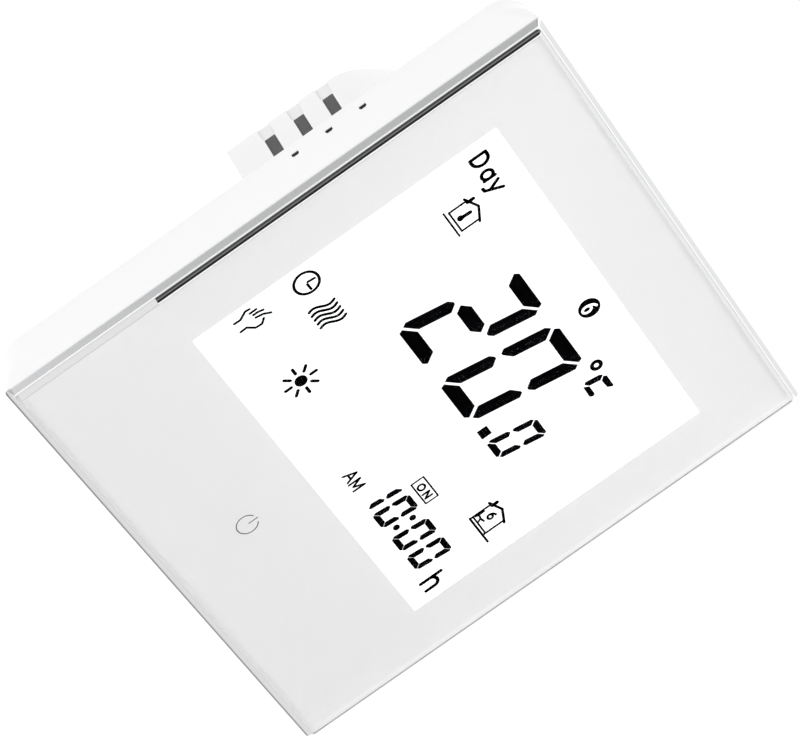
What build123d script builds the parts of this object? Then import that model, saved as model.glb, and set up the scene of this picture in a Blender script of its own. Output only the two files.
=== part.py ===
from build123d import *
import os

# Flush-mounted room thermostat and heating timer with a glass touch panel.
# X is to the right, Z is up and Y points into the wall. The origin is the centre of the wall
# plane, midway between the two fixing slots. All sizes are in millimetres.

# ---------------------------------------------------------------- driving dimensions
PANEL_SIZE = 86.0  # square outer size of the front panel
PANEL_DEPTH = 12.6  # glass face to wall plane
PANEL_CORNER = 4.8  # plan corner radius at the back, and rounding of the back edges
BEVEL_CORNER = 0.5  # plan corner radius at the front
GLASS_SIZE = 84.3
GLASS_THICKNESS = 1.2
GLASS_CHAMFER = 0.5
FRAME_LIP_DEPTH = 1.0  # the frame's lip, below the glass face
FRAME_BEVEL = 0.7
COVER_FRONT_DEPTH = 1.95  # where the white cover starts, below the glass face
COVER_WALL = 2.0
COVER_FLOOR = (-3.0, -1.8)  # Y of the cover's floor, inside and outside
RECESS_HALF = 36.6  # recess in the cover's back for the mounting plate

WINDOW_CENTRE = (0.45, 5.4)
WINDOW_SIZE = (65.9, 49.35)
CELL_WIDTH = 75.0
CELL_TOP = 34.4
CELL_BOTTOM = -23.6
KEY_ROW_Z = -29.6
KEY_PITCH = 11.0

WALL_SCREW_PITCH = 60.0  # standard wall box
WALL_SLOT = (9.0, 4.4)  # length and width
PLATE_SIZE = 71.0
PLATE_THICKNESS = 1.2
PLATE_COINING = 0.3  # locating step on the plate's back, for the rear box

BOX_WIDTH = 50.0
BOX_RADIUS = 29.95  # outer radius of the rear box's round top and bottom
BOX_CORNER = 7.0  # plan radius where the flat sides meet the round ends
BOX_BACK = 25.3
BOX_WALL = 1.6
BOX_STEP_Z = -3.0  # below this height the box is shallow
SHALLOW_BACK = 6.2
SHALLOW_FLOOR = 1.2
VENT_HEIGHTS = (3.2, 8.1, 13.0)
VENT_HEIGHT = 1.75
VENT_FRONT = 11.5
VENT_BACK = 22.7

TERMINAL_COUNT = 6
TERMINAL_PITCH = 7.0
TERMINAL_Z = -13.0  # height of the screw axes
CLAMP_TRAVEL = 3.4

# ---------------------------------------------------------------- derived places
HALF = PANEL_SIZE / 2
GLASS_FRONT = -PANEL_DEPTH
GLASS_BACK = GLASS_FRONT + GLASS_THICKNESS
MASK_FRONT = GLASS_BACK + 0.02  # a hair of clear glue lies between
MASK_BACK = GLASS_BACK + 0.1
FRAME_FLOOR_FRONT = MASK_BACK + 0.2
FRAME_FLOOR_BACK = FRAME_FLOOR_FRONT + 1.2
COVER_FRONT = GLASS_FRONT + COVER_FRONT_DEPTH
CAVITY_HALF = HALF - COVER_WALL
BOARD_FRONT, BOARD_BACK = -5.2, -4.2
POWER_FRONT, POWER_BACK = 3.0, 4.6
HEADER_Z = 10.0
PLATE_SCREWS = [(x * s, z) for x, z in ((21.6, 14.0), (18.5, -20.0)) for s in (-1, 1)]
POWER_SCREWS = [(x * s, z) for x, z in ((13.8, 21.6), (10.5, -22.6)) for s in (-1, 1)]
BOARD_POSTS = [(36.2 * s, z) for z in (37.3, -36.2) for s in (-1, 1)]
KEYS = [(KEY_PITCH * i, KEY_ROW_Z) for i in range(-2, 3)]
TERMINAL_X = [(i - (TERMINAL_COUNT - 1) / 2) * TERMINAL_PITCH for i in range(TERMINAL_COUNT)]
LAMPS = [(35.9 * s, z) for z in (-5.0, 20.0) for s in (-1, 1)]

os.makedirs("parts", exist_ok=True)


def at(y):
    """The upright plane at depth y. Its X is the part's X, its Y is up, and extrusions run forwards."""
    return Plane.XZ.offset(-y)


def keep(piece, name):
    """Labels a finished piece and writes it."""
    piece.part.label = name
    export_step(piece.part, f"parts/{name}.step")


def span(low, high):
    """Size and middle of the stretch between two values."""
    return high - low, (low + high) / 2


def block(x, y, z, mode=Mode.ADD):
    """A box between two values on each axis."""
    (width, cx), (depth, cy), (height, cz) = span(*x), span(*y), span(*z)
    with Locations((cx, cy, cz)):
        Box(width, depth, height, mode=mode)


def rod(x, z, radius, y, mode=Mode.ADD):
    """A cylinder along Y between two values of Y."""
    length, middle = span(*y)
    with Locations(Location((x, middle, z), (90, 0, 0))):
        Cylinder(radius, length, mode=mode)


def sheet(name, width, top, bottom, y):
    """A plain display sheet, centred on X."""
    with BuildPart() as piece:
        block((-width / 2, width / 2), y, (bottom, top))
        fillet(piece.edges().filter_by(Axis.Y), 0.4)
    keep(piece, name)


# ---------------------------------------------------------------- front glass and its print
with BuildPart() as front_glass:
    with BuildSketch(at(GLASS_BACK)):
        RectangleRounded(GLASS_SIZE, GLASS_SIZE, 0.5)
    extrude(amount=GLASS_THICKNESS)
    chamfer(front_glass.edges().group_by(Axis.Y)[0], GLASS_CHAMFER)
keep(front_glass, "front_glass")

with BuildPart() as mask_film:
    with BuildSketch(at(MASK_BACK)):
        Rectangle(GLASS_SIZE - 0.3, GLASS_SIZE - 0.3)
        with Locations(WINDOW_CENTRE):
            RectangleRounded(*WINDOW_SIZE, 0.3, mode=Mode.SUBTRACT)
    extrude(amount=MASK_BACK - MASK_FRONT)
keep(mask_film, "mask_film")

CELL_HEIGHT, CELL_Z = span(CELL_BOTTOM, CELL_TOP)
with BuildPart() as glass_tape:
    with BuildSketch(at(FRAME_FLOOR_FRONT)):
        Rectangle(GLASS_SIZE - 0.8, GLASS_SIZE - 0.8)
        with Locations((0, CELL_Z)):
            Rectangle(CELL_WIDTH + 1.4, CELL_HEIGHT + 1.4, mode=Mode.SUBTRACT)
        with Locations(*KEYS):
            Circle(3.6, mode=Mode.SUBTRACT)
    extrude(amount=FRAME_FLOOR_FRONT - MASK_BACK)
keep(glass_tape, "glass_tape")

# ---------------------------------------------------------------- front frame
LIP = GLASS_FRONT + FRAME_LIP_DEPTH
TONGUE_BACK = -7.6
with BuildPart() as front_frame:
    with BuildSketch(at(LIP)):
        RectangleRounded(PANEL_SIZE - 2 * FRAME_BEVEL, PANEL_SIZE - 2 * FRAME_BEVEL, 0.3)
    with BuildSketch(at(LIP + FRAME_BEVEL)):
        RectangleRounded(PANEL_SIZE, PANEL_SIZE, BEVEL_CORNER)
    loft()
    with BuildSketch(at(COVER_FRONT)):
        RectangleRounded(PANEL_SIZE, PANEL_SIZE, BEVEL_CORNER)
    extrude(amount=COVER_FRONT - LIP - FRAME_BEVEL)
    # the tongue that slides inside the cover
    with BuildSketch(at(TONGUE_BACK)):
        RectangleRounded(2 * CAVITY_HALF - 0.2, 2 * CAVITY_HALF - 0.2, 2.9)
    extrude(amount=TONGUE_BACK - COVER_FRONT)
    with BuildSketch(at(TONGUE_BACK)):
        RectangleRounded(2 * CAVITY_HALF - 3.0, 2 * CAVITY_HALF - 3.0, 1.5)
    extrude(amount=TONGUE_BACK - FRAME_FLOOR_BACK, mode=Mode.SUBTRACT)
    # the seat of the glass
    with BuildSketch(at(FRAME_FLOOR_FRONT)):
        RectangleRounded(GLASS_SIZE + 0.1, GLASS_SIZE + 0.1, 0.55)
    extrude(amount=FRAME_FLOOR_FRONT - LIP, mode=Mode.SUBTRACT)
    # openings for the display and the key springs
    with BuildSketch(at(FRAME_FLOOR_BACK)):
        with Locations((0, CELL_Z)):
            RectangleRounded(CELL_WIDTH + 1.0, CELL_HEIGHT + 1.0, 0.5)
        with Locations(*KEYS):
            Circle(3.4)
    extrude(amount=FRAME_FLOOR_BACK - FRAME_FLOOR_FRONT, mode=Mode.SUBTRACT)
    # posts for the control board
    for x, z in BOARD_POSTS:
        rod(x, z, 2.0, (FRAME_FLOOR_BACK - 0.2, BOARD_FRONT))
        rod(x, z, 0.8, (BOARD_FRONT - 4.2, BOARD_FRONT), mode=Mode.SUBTRACT)
keep(front_frame, "front_frame")

# ---------------------------------------------------------------- display stack
sheet("front_polariser", 68.6, 31.4, -20.4, (-11.25, -11.07))
sheet("lcd_front_sheet", CELL_WIDTH, CELL_TOP, CELL_BOTTOM, (-11.05, -10.35))
sheet("lcd_rear_sheet", CELL_WIDTH, CELL_TOP, CELL_BOTTOM + 3.0, (-10.35, -9.65))
sheet("rear_polariser", 68.6, 31.4, -20.4, (-9.63, -9.45))
sheet("diffuser_sheet", 70.0, 33.8, -19.8, (-9.4, -9.2))
sheet("light_guide", 70.0, 33.8, -19.8, (-9.2, -6.7))
sheet("reflector_sheet", 70.0, 33.8, -19.8, (-6.7, -6.6))

HOLDER_BACK = -5.7
with BuildPart() as lcd_holder:
    block((-37.4, 37.4), (-9.4, HOLDER_BACK), (-20.6, CELL_TOP))
    block((-35.1, 35.1), (-9.4, -6.5), (-19.9, 33.9), mode=Mode.SUBTRACT)
    for x, z in LAMPS:
        block((x - 1.0, x + 1.0), (-9.4, HOLDER_BACK), (z - 1.8, z + 1.8), mode=Mode.SUBTRACT)
    with BuildSketch(at(HOLDER_BACK)):
        with GridLocations(22, 17, 3, 3):
            RectangleRounded(17, 12, 2)
    extrude(amount=0.8, mode=Mode.SUBTRACT)
    for x, z in ((-36.2, -10), (36.2, -10), (-36.2, 30), (36.2, 30)):
        rod(x, z, 0.9, (HOLDER_BACK - 0.2, BOARD_FRONT))
keep(lcd_holder, "lcd_holder")

with BuildPart() as contact_strip:
    block((-35, 35), (-10.35, BOARD_FRONT), (CELL_BOTTOM + 0.3, CELL_BOTTOM + 2.5))
keep(contact_strip, "contact_strip")

with BuildPart() as backlight_lamps:
    for x, z in LAMPS:
        block((x - 0.7, x + 0.7), (-8.9, BOARD_FRONT), (z - 1.5, z + 1.5))
    fillet(backlight_lamps.edges().filter_by(Axis.Y), 0.2)
keep(backlight_lamps, "backlight_lamps")

# ---------------------------------------------------------------- control board and its parts
SENSOR = (-38.7, 11.8)
HEADER_PINS = GridLocations(2.54, 2.54, 6, 2).locations
PIN_PLACES = [(p.position.X, p.position.Y + HEADER_Z) for p in HEADER_PINS]
with BuildPart() as control_board:
    with BuildSketch(at(BOARD_BACK)):
        RectangleRounded(80.4, 80.4, 3)
        with Locations(*BOARD_POSTS):
            Circle(1.1, mode=Mode.SUBTRACT)
        with Locations(*PIN_PLACES):
            Circle(0.48, mode=Mode.SUBTRACT)
        with Locations((-40.2, SENSOR[1])):
            Rectangle(7, 6, mode=Mode.SUBTRACT)
    extrude(amount=BOARD_BACK - BOARD_FRONT)
keep(control_board, "control_board")

with BuildPart() as control_board_screws:
    for x, z in BOARD_POSTS:
        rod(x, z, 0.75, (BOARD_FRONT - 3.8, BOARD_BACK))
        rod(x, z, 1.8, (BOARD_BACK, BOARD_BACK + 1.0))
        block((x - 1.2, x + 1.2), (BOARD_BACK + 0.5, BOARD_BACK + 1.0), (z - 0.25, z + 0.25), Mode.SUBTRACT)
        block((x - 0.25, x + 0.25), (BOARD_BACK + 0.5, BOARD_BACK + 1.0), (z - 1.2, z + 1.2), Mode.SUBTRACT)
keep(control_board_screws, "control_board_screws")

SPRING_RADIUS, SPRING_WIRE = 2.1, 0.25
SPRING_LENGTH = BOARD_FRONT - MASK_BACK - 2 * SPRING_WIRE
with BuildPart() as touch_springs:
    for x, z in KEYS:
        foot = (x, BOARD_FRONT - SPRING_WIRE, z)
        with BuildLine() as coil:
            Helix(SPRING_LENGTH / 5, SPRING_LENGTH, SPRING_RADIUS, center=foot, direction=(0, -1, 0))
        with BuildSketch(Plane(origin=coil.line @ 0, z_dir=coil.line % 0)):
            Circle(SPRING_WIRE)
        sweep(path=coil.line, is_frenet=True)
keep(touch_springs, "touch_springs")

CHIPS = [(-16, -16, 10, 10), (14, -18, 7, 7)]  # centre and size of each chip on the board's back
with BuildPart() as control_board_parts:
    for x, z, width, height in CHIPS:
        block(
            (x - width / 2, x + width / 2),
            (BOARD_BACK + 0.1, BOARD_BACK + 1.0),
            (z - height / 2, z + height / 2),
        )
        legs = int(height / 0.8)
        for side in (-1, 1):
            for i in range(legs):
                z_leg = z + (i - (legs - 1) / 2) * 0.8
                x_leg = x + side * (width / 2 + 0.5)
                block(
                    (x_leg - 0.6, x_leg + 0.6),
                    (BOARD_BACK, BOARD_BACK + 0.3),
                    (z_leg - 0.15, z_leg + 0.15),
                )
    for i in range(6):
        x_part = -6 + 5 * i
        block((x_part - 1, x_part + 1), (BOARD_BACK, BOARD_BACK + 0.6), (-32.6, -31.4))
    with Locations(Location((8, BOARD_FRONT - 1.05, -36.6), (0, 90, 0))):
        Cylinder(1.0, 6.0)
    block((5.0, 5.6), (BOARD_FRONT - 1.05, BOARD_FRONT), (-36.9, -36.3))
keep(control_board_parts, "control_board_parts")

with BuildPart() as beeper:
    rod(31.6, -30.4, 4.2, (BOARD_FRONT - 3.2, BOARD_FRONT))
    fillet(beeper.edges().group_by(Axis.Y)[0], 0.4)
    rod(31.6, -30.4, 0.8, (BOARD_FRONT - 3.2, BOARD_FRONT - 2.2), mode=Mode.SUBTRACT)
keep(beeper, "beeper")

CELL_X, BACKUP_Z = -31.2, -29.6
with BuildPart() as cell_holder:
    rod(CELL_X, BACKUP_Z, 5.6, (BOARD_FRONT - 2.0, BOARD_FRONT))
    rod(CELL_X, BACKUP_Z, 5.1, (BOARD_FRONT - 2.0, BOARD_FRONT - 0.4), mode=Mode.SUBTRACT)
    block(
        (CELL_X - 6, CELL_X + 6),
        (BOARD_FRONT - 2.0, BOARD_FRONT - 0.4),
        (BACKUP_Z - 3, BACKUP_Z + 3),
        Mode.SUBTRACT,
    )
keep(cell_holder, "cell_holder")

with BuildPart() as backup_cell:
    rod(CELL_X, BACKUP_Z, 5.0, (BOARD_FRONT - 2.9, BOARD_FRONT - 0.4))
    fillet(backup_cell.edges().group_by(Axis.Y)[0], 0.3)
keep(backup_cell, "backup_cell")

with BuildPart() as room_sensor:
    with Locations((SENSOR[0], -4.7, SENSOR[1])):
        Sphere(0.9)
    for side in (-1, 1):
        z_lead = SENSOR[1] + side * 0.5
        block((SENSOR[0], -35.6), (-4.1, -3.8), (z_lead - 0.15, z_lead + 0.15))
keep(room_sensor, "room_sensor")

with BuildPart() as board_plug:
    block((-7.9, 7.9), (BOARD_BACK, -2.8), (HEADER_Z - 2.5, HEADER_Z + 2.5))
    for x, z in PIN_PLACES:
        block((x - 0.32, x + 0.32), (BOARD_BACK, -2.8), (z - 0.32, z + 0.32), mode=Mode.SUBTRACT)
keep(board_plug, "board_plug")

with BuildPart() as plug_pins:
    for x, z in PIN_PLACES:
        block((x - 0.3, x + 0.3), (BOARD_FRONT - 0.3, 0.6), (z - 0.3, z + 0.3))
keep(plug_pins, "plug_pins")

# ---------------------------------------------------------------- rear cover of the panel
SLOT_PITCH = 5.45
SLOT_Y = -5.0
RAMP_DEPTH = 0.12
TRAY_DEPTH = PANEL_CORNER + 0.6  # the cover's back part, with rounded back edges
with BuildPart() as back_tray:
    with BuildSketch(at(0)):
        RectangleRounded(PANEL_SIZE, PANEL_SIZE, PANEL_CORNER)
    extrude(amount=TRAY_DEPTH)
    fillet(back_tray.edges().group_by(Axis.Y)[-1], PANEL_CORNER - 0.05)

with BuildPart() as rear_cover:
    with BuildSketch(at(-TRAY_DEPTH)):
        RectangleRounded(PANEL_SIZE, PANEL_SIZE, PANEL_CORNER)
    with BuildSketch(at(COVER_FRONT)):
        RectangleRounded(PANEL_SIZE, PANEL_SIZE, BEVEL_CORNER)
    loft(ruled=True)
    add(back_tray.part)
    with BuildSketch(at(COVER_FLOOR[0])):
        RectangleRounded(2 * CAVITY_HALF, 2 * CAVITY_HALF, 3)
    extrude(amount=COVER_FLOOR[0] - COVER_FRONT, mode=Mode.SUBTRACT)
    # recess for the mounting plate
    with BuildSketch(at(0)):
        RectangleRounded(2 * RECESS_HALF, 2 * RECESS_HALF, 4)
    extrude(amount=-COVER_FLOOR[1], mode=Mode.SUBTRACT)
    # windows for the plug, the wall screws' heads and the plate's catches
    block((-9.5, 9.5), COVER_FLOOR, (HEADER_Z - 4, HEADER_Z + 4), mode=Mode.SUBTRACT)
    for side in (-1, 1):
        x_head = side * WALL_SCREW_PITCH / 2
        with BuildSketch(at(COVER_FLOOR[1])):
            with Locations((x_head, 0)):
                RectangleRounded(12.6, 10, 3)
        extrude(amount=COVER_FLOOR[1] - COVER_FLOOR[0], mode=Mode.SUBTRACT)
        for x in (-20, 20):
            block((x - 4.6, x + 4.6), COVER_FLOOR, (side * 33.6 - 1.4, side * 33.6 + 1.4), mode=Mode.SUBTRACT)
    # lever notches under the bottom edge
    for x in (-16, 16):
        block((x - 4, x + 4), (-1.2, 0), (-HALF, -RECESS_HALF), mode=Mode.SUBTRACT)
    # three air slots by the sensor, each with a short ramp in front
    for i in (-1, 0, 1):
        z = SENSOR[1] + i * SLOT_PITCH
        block(
            (-HALF - 1, -CAVITY_HALF + 1),
            (SLOT_Y - 0.3, SLOT_Y + 0.3),
            (z - 0.55, z + 0.55),
            mode=Mode.SUBTRACT,
        )
        with BuildSketch(Plane.XY.offset(z - 0.4)):
            with BuildLine():
                Polyline(
                    (-HALF, SLOT_Y - 1.2),
                    (-HALF + RAMP_DEPTH, SLOT_Y - 0.3),
                    (-HALF, SLOT_Y - 0.3),
                    close=True,
                )
            make_face()
        extrude(amount=0.8, mode=Mode.SUBTRACT)
keep(rear_cover, "rear_cover")


# ---------------------------------------------------------------- mounting plate
def box_outline(sketch, inset, low=-40.0):
    """The rear box's outline: a circle with flat sides, from the height low upwards."""
    Circle(BOX_RADIUS - inset)
    Rectangle(BOX_WIDTH - 2 * inset, 80, mode=Mode.INTERSECT)
    fillet(sketch.vertices(), BOX_CORNER - inset)
    with Locations((0, low)):
        Rectangle(80, 80, align=(Align.CENTER, Align.MIN), mode=Mode.INTERSECT)


PLATE_FRONT = -PLATE_THICKNESS
with BuildPart() as mounting_plate:
    with BuildSketch(at(0)):
        RectangleRounded(PLATE_SIZE, PLATE_SIZE, 3.6)
        with Locations((0, 3.5)):
            RectangleRounded(34, 25, 3, mode=Mode.SUBTRACT)
        with GridLocations(WALL_SCREW_PITCH, 0, 2, 1):
            SlotOverall(*WALL_SLOT, mode=Mode.SUBTRACT)
        with Locations(*PLATE_SCREWS):
            Circle(1.4, mode=Mode.SUBTRACT)
    extrude(amount=PLATE_THICKNESS)
    with BuildSketch(at(0)) as outline:
        box_outline(outline, -0.15)
    extrude(amount=PLATE_COINING, mode=Mode.SUBTRACT)
    for x, z in PLATE_SCREWS:
        rod(x, z, 2.4, (PLATE_FRONT, PLATE_FRONT + 0.5), mode=Mode.SUBTRACT)
    for side in (-1, 1):
        for x in (-20, 20):
            block((x - 4, x + 4), (PLATE_FRONT - 1.5, PLATE_FRONT), (side * 33.6 - 0.6, side * 33.6 + 0.6))
    with BuildSketch(at(0)):
        with GridLocations(40, 61.6, 2, 2):
            SlotOverall(12, 3.4)
    extrude(amount=PLATE_THICKNESS, mode=Mode.SUBTRACT)
keep(mounting_plate, "mounting_plate")

with BuildPart() as plate_screws:
    for x, z in PLATE_SCREWS:
        rod(x, z, 2.3, (PLATE_FRONT + 0.02, PLATE_FRONT + 0.5))
        rod(x, z, 0.95, (PLATE_FRONT + 0.5, 4.0))
        block((x - 1.5, x + 1.5), (PLATE_FRONT, PLATE_FRONT + 0.3), (z - 0.3, z + 0.3), Mode.SUBTRACT)
        block((x - 0.3, x + 0.3), (PLATE_FRONT, PLATE_FRONT + 0.3), (z - 1.5, z + 1.5), Mode.SUBTRACT)
keep(plate_screws, "plate_screws")

# ---------------------------------------------------------------- rear box
BLOCK_X = TERMINAL_PITCH * TERMINAL_COUNT / 2 + 0.8
BLOCK_Z = (-19.0, -5.6)
with BuildPart() as rear_box:
    with BuildSketch(at(BOX_BACK)) as outline:
        box_outline(outline, 0, BOX_STEP_Z)
    extrude(amount=BOX_BACK + PLATE_COINING)
    with BuildSketch(at(SHALLOW_BACK)) as outline:
        box_outline(outline, 0)
    extrude(amount=SHALLOW_BACK + PLATE_COINING)
    fillet(rear_box.edges().group_by(Axis.Y)[-1], 0.2)
    with BuildSketch(at(BOX_BACK - BOX_WALL)) as outline:
        box_outline(outline, BOX_WALL, BOX_STEP_Z + BOX_WALL)
    extrude(amount=BOX_BACK - BOX_WALL + PLATE_COINING, mode=Mode.SUBTRACT)
    with BuildSketch(at(SHALLOW_BACK - SHALLOW_FLOOR)) as outline:
        box_outline(outline, BOX_WALL)
    extrude(amount=SHALLOW_BACK - SHALLOW_FLOOR + PLATE_COINING, mode=Mode.SUBTRACT)
    # bosses for the plate's screws and columns for the power board
    for x, z in PLATE_SCREWS:
        boss_back = 10.0 if z > 0 else SHALLOW_BACK
        with BuildSketch(at(boss_back)):
            with Locations((x, z)):
                Circle(2.2)
            Circle(BOX_RADIUS - 0.2, mode=Mode.INTERSECT)
        extrude(amount=boss_back + PLATE_COINING)
        rod(x, z, 1.0, (-PLATE_COINING, 4.8), mode=Mode.SUBTRACT)
    for x, z in POWER_SCREWS:
        column_back = BOX_BACK - 1 if z > 0 else SHALLOW_BACK
        with BuildSketch(at(column_back)):
            with Locations((x, z)):
                Circle(1.8)
        extrude(amount=column_back - POWER_BACK)
        rod(x, z, 0.9, (POWER_BACK, 10.0 if z > 0 else SHALLOW_BACK - 0.4), mode=Mode.SUBTRACT)
    # vents in both sides, running on as shallow grooves to the back edge
    for side in (-1, 1):
        x_wall = sorted((side * (BOX_WIDTH / 2 + 1), side * (BOX_WIDTH / 2 - BOX_WALL - 0.4)))
        x_groove = sorted((side * (BOX_WIDTH / 2 + 1), side * (BOX_WIDTH / 2 - 0.35)))
        for z in VENT_HEIGHTS:
            low, high = z - VENT_HEIGHT / 2, z + VENT_HEIGHT / 2
            block(x_wall, (VENT_FRONT, VENT_BACK), (low, high), mode=Mode.SUBTRACT)
            block(
                x_groove,
                (VENT_BACK, BOX_BACK + 1),
                (low - 0.15, high + 0.15),
                mode=Mode.SUBTRACT,
            )
    # slots in the back wall
    with BuildSketch(at(BOX_BACK)):
        with Locations((0, 11)):
            with GridLocations(0, 5, 1, 4):
                SlotOverall(30, 1.8)
    extrude(amount=BOX_WALL, mode=Mode.SUBTRACT)
    # opening for the terminal block
    block(
        (-BLOCK_X - 0.2, BLOCK_X + 0.2),
        (POWER_BACK, SHALLOW_BACK + 1),
        (BLOCK_Z[0] - 0.2, BLOCK_Z[1] + 0.2),
        mode=Mode.SUBTRACT,
    )
keep(rear_box, "rear_box")

with BuildPart() as box_lid:
    with BuildSketch(at(0.9)) as outline:
        box_outline(outline, BOX_WALL + 0.15)
        with Locations(*PLATE_SCREWS):
            Circle(2.5, mode=Mode.SUBTRACT)
        with Locations((0, HEADER_Z)):
            Rectangle(16.4, 5.6, mode=Mode.SUBTRACT)
    extrude(amount=0.9 + PLATE_COINING)
keep(box_lid, "box_lid")

# ---------------------------------------------------------------- power board and what stands on it
with BuildPart() as power_board:
    with BuildSketch(at(POWER_BACK)) as outline:
        box_outline(outline, BOX_WALL + 0.3)
        with Locations(*PLATE_SCREWS):
            Circle(2.6, mode=Mode.SUBTRACT)
        with Locations(*POWER_SCREWS):
            Circle(1.2, mode=Mode.SUBTRACT)
    extrude(amount=POWER_BACK - POWER_FRONT)
keep(power_board, "power_board")

with BuildPart() as power_board_screws:
    for x, z in POWER_SCREWS:
        rod(x, z, 1.9, (POWER_FRONT - 1.2, POWER_FRONT))
        rod(x, z, 0.85, (POWER_FRONT, 5.6))
        block((x - 1.2, x + 1.2), (1.8, 2.4), (z - 0.25, z + 0.25), Mode.SUBTRACT)
        block((x - 0.25, x + 0.25), (1.8, 2.4), (z - 1.2, z + 1.2), Mode.SUBTRACT)
keep(power_board_screws, "power_board_screws")

SOCKET_FRONT = -2.6
with BuildPart() as board_socket:
    block((-8.0, 8.0), (SOCKET_FRONT, POWER_FRONT), (HEADER_Z - 2.6, HEADER_Z + 2.6))
    for x, z in PIN_PLACES:
        block((x - 0.5, x + 0.5), (SOCKET_FRONT, 1.4), (z - 0.5, z + 0.5), mode=Mode.SUBTRACT)
keep(board_socket, "board_socket")

CORE_X, CORE_Z = -10.75, 9.7
with BuildPart() as transformer_core:
    with BuildSketch(at(18)):
        with Locations((CORE_X, CORE_Z)):
            Rectangle(13.5, 17.4)
        with Locations((CORE_X, CORE_Z)):
            with GridLocations(6.5, 0, 2, 1):
                Rectangle(3.0, 11, mode=Mode.SUBTRACT)
    extrude(amount=10)
keep(transformer_core, "transformer_core")

with BuildPart() as transformer_winding:
    block((CORE_X - 4.6, CORE_X + 4.6), (5.8, 20.4), (CORE_Z - 5.0, CORE_Z + 5.0))
    fillet(transformer_winding.edges().filter_by(Axis.Z), 1.6)
    block((CORE_X - 1.8, CORE_X + 1.8), (7.95, 18.05), (CORE_Z - 6, CORE_Z + 6), mode=Mode.SUBTRACT)
keep(transformer_winding, "transformer_winding")

with BuildPart() as transformer_bobbin:
    block((CORE_X - 6.9, CORE_X + 6.9), (POWER_BACK + 0.2, 5.8), (0.6, 18.8))
    for x in (-5, 0, 5):
        for z in (2.0, 17.4):
            rod(CORE_X + x, z, 0.35, (POWER_BACK, POWER_BACK + 0.4))
keep(transformer_bobbin, "transformer_bobbin")

# relay: its hinge line lies on the top edge of the yoke
RELAY_X = (2.5, 18.0)
RELAY_Z = (0.0, 19.0)
COIL = (10.25, 7.0)
HINGE_Y, HINGE_Z = 16.4, 13.6
with BuildPart() as relay_case:
    block(RELAY_X, (POWER_BACK + 0.3, 20.3), RELAY_Z)
    fillet(relay_case.edges().filter_by(Axis.Y) + relay_case.edges().group_by(Axis.Y)[-1], 0.8)
    block((3.3, 17.2), (POWER_BACK, 19.5), (0.8, 18.2), mode=Mode.SUBTRACT)
keep(relay_case, "relay_case")

with BuildPart() as relay_base:
    block((3.4, 17.1), (POWER_BACK + 0.2, 5.9), (0.9, 18.1))
    for x, z in ((5, 2), (15.5, 2), (5, 16.8), (10.25, 16.8), (15.5, 16.8)):
        rod(x, z, 0.4, (POWER_BACK, POWER_BACK + 0.4))
keep(relay_base, "relay_base")

with BuildPart() as relay_coil:
    rod(*COIL, 4.7, (7.1, 15.4))
    for y in (7.1, 14.6):
        rod(*COIL, 5.5, (y, y + 0.8))
    rod(*COIL, 1.6, (7.1, 15.4), mode=Mode.SUBTRACT)
keep(relay_coil, "relay_coil")

with BuildPart() as relay_yoke:
    block((6.2, 14.3), (6.0, 7.0), (1.4, 14.2))
    block((6.2, 14.3), (6.0, 16.2), (13.0, 14.2))
    rod(*COIL, 1.5, (6.5, 16.2))
keep(relay_yoke, "relay_yoke")

with BuildPart() as relay_armature:
    block((6.6, 13.9), (16.6, 17.3), (2.4, 15.1))
    block((6.6, 13.9), (16.6, 17.3), (15.1, 15.4))
    block((8.6, 11.9), (8.0, 17.3), (15.1, 15.4))
    with Locations((COIL[0], 9.6, 15.65)):
        Cylinder(0.9, 0.5)
keep(relay_armature, "relay_armature")

with BuildPart() as relay_fixed_contact:
    block((8.6, 11.9), (5.9, 11.4), (16.9, 17.2))
    with Locations((COIL[0], 9.6, 16.6)):
        Cylinder(0.9, 0.6)
keep(relay_fixed_contact, "relay_fixed_contact")

with BuildPart() as fuse:
    rod(-0.5, 3.6, 2.2, (POWER_BACK + 0.4, 11.6))
    fillet(fuse.edges().group_by(Axis.Y)[-1], 0.5)
    for side in (-1, 1):
        rod(-0.5 + side * 1.3, 3.6, 0.3, (POWER_BACK, POWER_BACK + 0.6))
keep(fuse, "fuse")

with BuildPart() as film_capacitor:
    block((-3.1, 2.1), (POWER_BACK + 0.3, 15.2), (7.4, 18.4))
    fillet(film_capacitor.edges(), 0.4)
    for z in (9, 17):
        rod(-0.5, z, 0.3, (POWER_BACK, POWER_BACK + 0.5))
keep(film_capacitor, "film_capacitor")

with BuildPart() as smoothing_capacitors:
    for x in (-5.4, 0.6):
        rod(x, 23.5, 2.5, (POWER_BACK, 16.0))
    fillet(smoothing_capacitors.edges().group_by(Axis.Y)[-1], 0.5)
keep(smoothing_capacitors, "smoothing_capacitors")

with BuildPart() as varistor:
    with Locations((8.0, 10.4, 22.9)):
        Cylinder(3.6, 2.2)
    fillet(varistor.edges(), 0.6)
    for side in (-1, 1):
        rod(8.0 + side * 1.9, 22.9, 0.3, (POWER_BACK, 8.2))
keep(varistor, "varistor")

# centre and size of each small part on the power board's front
SMALL_PARTS = [(-14, -6, 6, 4), (-4, -8, 3, 1.6), (2, -8, 3, 1.6)]
SMALL_PARTS += [(8, -8, 3, 1.6), (14, -4, 4, 3), (-12, 16, 3, 1.6)]
with BuildPart() as power_board_parts:
    for x, z, width, height in SMALL_PARTS:
        block(
            (x - width / 2, x + width / 2),
            (POWER_FRONT - 1.3, POWER_FRONT),
            (z - height / 2, z + height / 2),
        )
keep(power_board_parts, "power_board_parts")

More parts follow.
